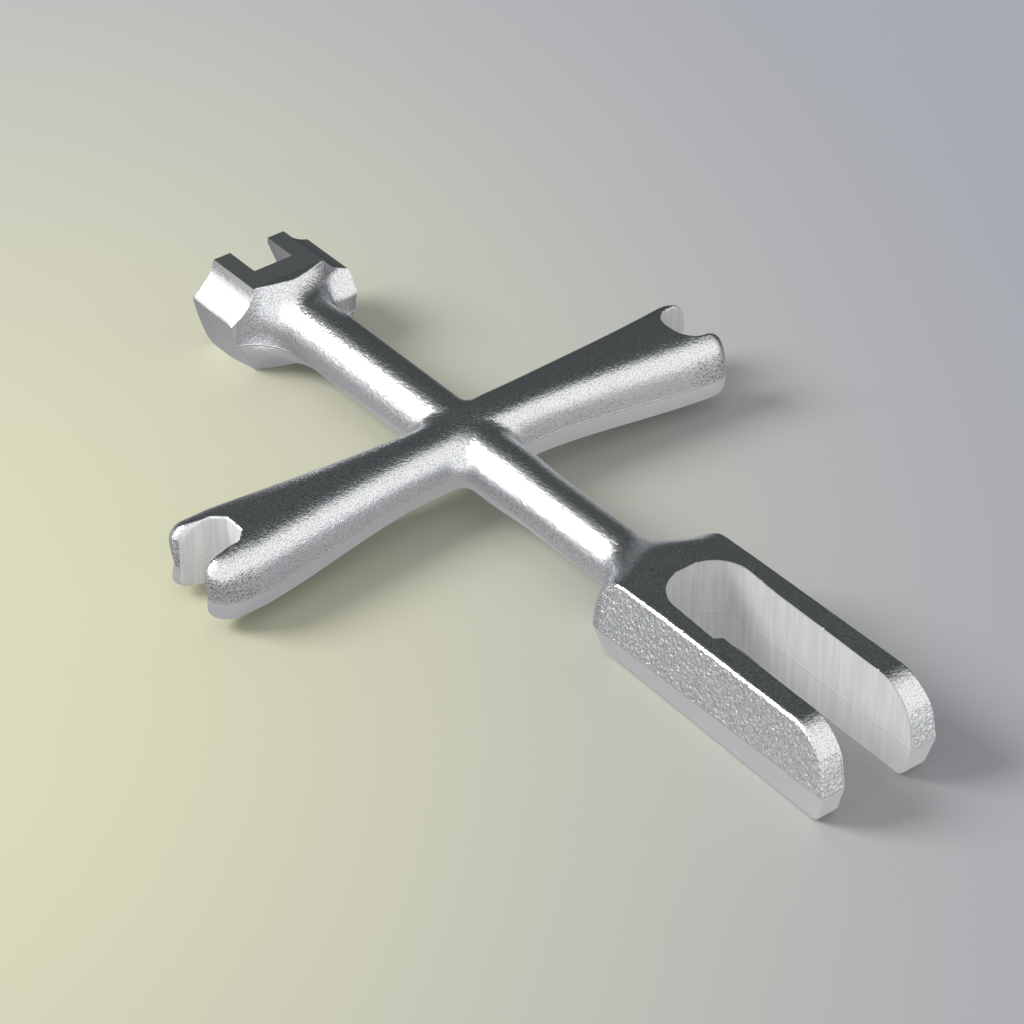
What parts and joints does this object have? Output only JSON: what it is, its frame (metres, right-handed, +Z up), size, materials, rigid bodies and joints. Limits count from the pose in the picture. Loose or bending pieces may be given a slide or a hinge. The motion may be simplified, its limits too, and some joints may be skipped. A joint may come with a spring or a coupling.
{
  "type": "pop-up plug wrench",
  "caption": "Cast cross-shaped plumbing wrench: a long slotted fork, a pronged plug head with scooped flanks, and two flared arms that end in open mouths.",
  "frame": {"origin": "middle of the cross's bounding box in plan, on the bench plane under the fork and the plug head", "axes": "+X along the main bar toward the fork, +Y along the cross bar toward the short arm, +Z up from the bench, toward the flat tops"},
  "size_m": [0.165, 0.11, 0.0166],
  "materials": {
    "cast_metal": "bright as-cast metal with a fine sparkling grain",
    "dressed_metal": "cut and dressed faces, bright and nearly smooth",
    "pebbled_metal": "as-cast metal with a coarse pebbled grain on the outer faces"
  },
  "bodies": {
    "root": {"hub": "cast_metal", "plug_shank": "cast_metal", "plug_neck": "cast_metal", "plug_head": "dressed_metal", "plug_prong_long_side": "dressed_metal", "plug_prong_short_side": "dressed_metal", "fork_shank": "cast_metal", "fork_yoke": "cast_metal", "fork_tine_long_side": "pebbled_metal", "fork_tine_short_side": "pebbled_metal", "long_arm": "cast_metal", "long_arm_jaw_fork_side": "pebbled_metal", "long_arm_jaw_plug_side": "pebbled_metal", "short_arm": "cast_metal", "short_arm_jaw_fork_side": "pebbled_metal", "short_arm_jaw_plug_side": "pebbled_metal"}
  },
  "joints": []
}
